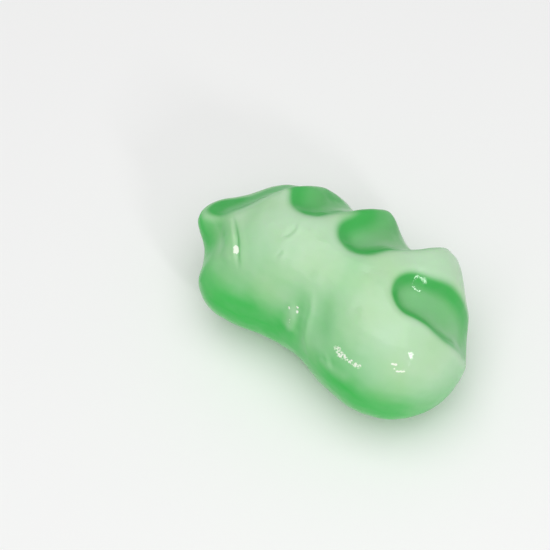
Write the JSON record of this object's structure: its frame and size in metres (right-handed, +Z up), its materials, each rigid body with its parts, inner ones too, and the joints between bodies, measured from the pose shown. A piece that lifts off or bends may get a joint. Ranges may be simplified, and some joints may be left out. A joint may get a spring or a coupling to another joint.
{
  "type": "stress ball",
  "caption": "Soft stress ball: a rubber skin filled with dough, held in the pinched, two-lobed shape that a gripping hand gives it.",
  "frame": {"origin": "point on the flat patch the ball rests on, under the middle of its length", "axes": "+Z up from the resting patch, +X along the ball's length towards the little finger's end, +Y towards the knuckle side with the finger channels"},
  "size_m": [0.0908, 0.0535, 0.0449],
  "materials": {
    "skin": "glossy soft thermoplastic rubber, mint green, slightly see-through",
    "dough": "matt soft dough",
    "plug": "satin moulded rubber",
    "adhesive": "glossy cured adhesive"
  },
  "bodies": {
    "skin": {"outer_skin": "skin", "fill_plug": "plug", "plug_seal": "adhesive"},
    "dough": {"dough_filling": "dough"}
  },
  "joints": [
    {"name": "squeeze", "type": "slide", "parent": "skin", "child": "dough", "axis": [0, 0, -1], "range_m": [0, 0.012], "stiffness_N_per_m": 1500, "springref_m": -0.0012, "deforming": ["outer_skin", "dough_filling"]}
  ]
}
